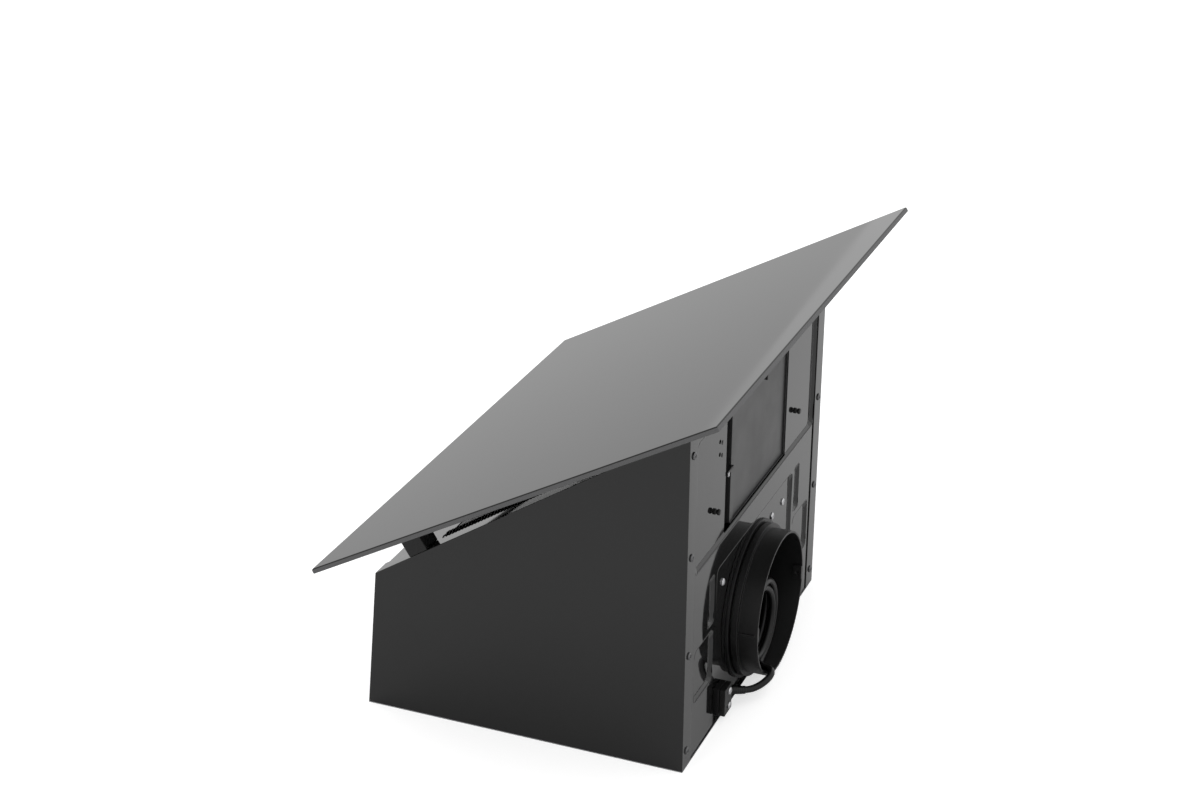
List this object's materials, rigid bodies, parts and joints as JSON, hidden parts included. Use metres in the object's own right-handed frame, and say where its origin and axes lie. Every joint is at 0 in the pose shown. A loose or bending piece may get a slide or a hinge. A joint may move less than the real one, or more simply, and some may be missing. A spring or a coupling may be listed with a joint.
{
  "type": "inclined wall cooker hood",
  "caption": "Inclined wall-mounted cooker hood with a tilted glass panel over a wedge casing, a round duct spigot, a hinged panel and a stowed supply cord.",
  "frame": {"origin": "centre of the hood's bounding box, without its cord, at the wall plane, where the wall plate lies", "axes": "+Z away from the wall, +Y towards the duct end, which is upwards when it hangs on a wall, +X across the hood to the side beside the cable clamp"},
  "size_m": [0.6, 0.3914, 0.4083],
  "materials": {
    "black_sheet": "gloss",
    "glass_black": "gloss",
    "galvanised": "satin",
    "grey_sheet": "satin",
    "zinc": "bright",
    "moulded_black": "fine texture",
    "wheel_grey": "fine texture",
    "motor_steel": "satin",
    "capacitor_white": "satin",
    "filter_aluminium": "satin",
    "lamp_ring": "satin",
    "lamp_lens": "frosted",
    "cord_black": "satin"
  },
  "bodies": {
    "casing": {"side_panel_right": "black_sheet", "side_panel_left": "black_sheet", "wall_plate": "galvanised", "duct_plate": "black_sheet", "slope_frame": "black_sheet", "lamp_plate": "black_sheet", "lamp_bezels": "lamp_ring", "lamp_lenses": "lamp_lens", "lamp_cans": "moulded_black", "outlet_cover": "grey_sheet", "cover_clips": "moulded_black", "locating_pegs": "moulded_black", "side_screws": "zinc", "spigot_screws": "zinc", "duct_spigot": "moulded_black", "cable_clamp": "moulded_black", "clamp_screws": "zinc", "blower_housing": "moulded_black", "housing_cover": "moulded_black", "motor": "motor_steel", "control_box": "moulded_black", "control_lid": "moulded_black", "capacitor": "capacitor_white", "hinge_bracket_right": "zinc", "hinge_bracket_left": "zinc", "hinge_pins": "zinc", "catch_posts": "moulded_black", "filter_frame": "filter_aluminium", "filter_mesh": "filter_aluminium", "latch_cup": "moulded_black", "cord_lead": "cord_black", "cord_coil": "cord_black", "cord_tail": "cord_black", "plug": "cord_black"},
    "panel": {"glass_panel": "glass_black", "panel_carrier": "galvanised", "touch_board": "moulded_black", "hinge_strap_right": "zinc", "hinge_strap_left": "zinc", "catch_plates": "zinc"},
    "fan_wheel": {"impeller": "wheel_grey", "impeller_nut": "zinc", "motor_shaft": "zinc"},
    "latch": {"filter_latch": "zinc"}
  },
  "joints": [
    {"name": "panel_hinge", "type": "hinge", "parent": "casing", "child": "panel", "pos_m": [0, 0.1262, 0.35524], "axis": [-1, 0, 0], "range_deg": [0, 65]},
    {"name": "fan_spin", "type": "hinge", "parent": "casing", "child": "fan_wheel", "pos_m": [-0.067, -0.0377, 0.08], "axis": [0, 0, 1], "continuous": true},
    {"name": "latch_slide", "type": "slide", "parent": "casing", "child": "latch", "axis": [0, 0.8407, 0.5415], "range_m": [0, 0.006], "stiffness_N_per_m": 150, "springref_m": -0.004}
  ]
}
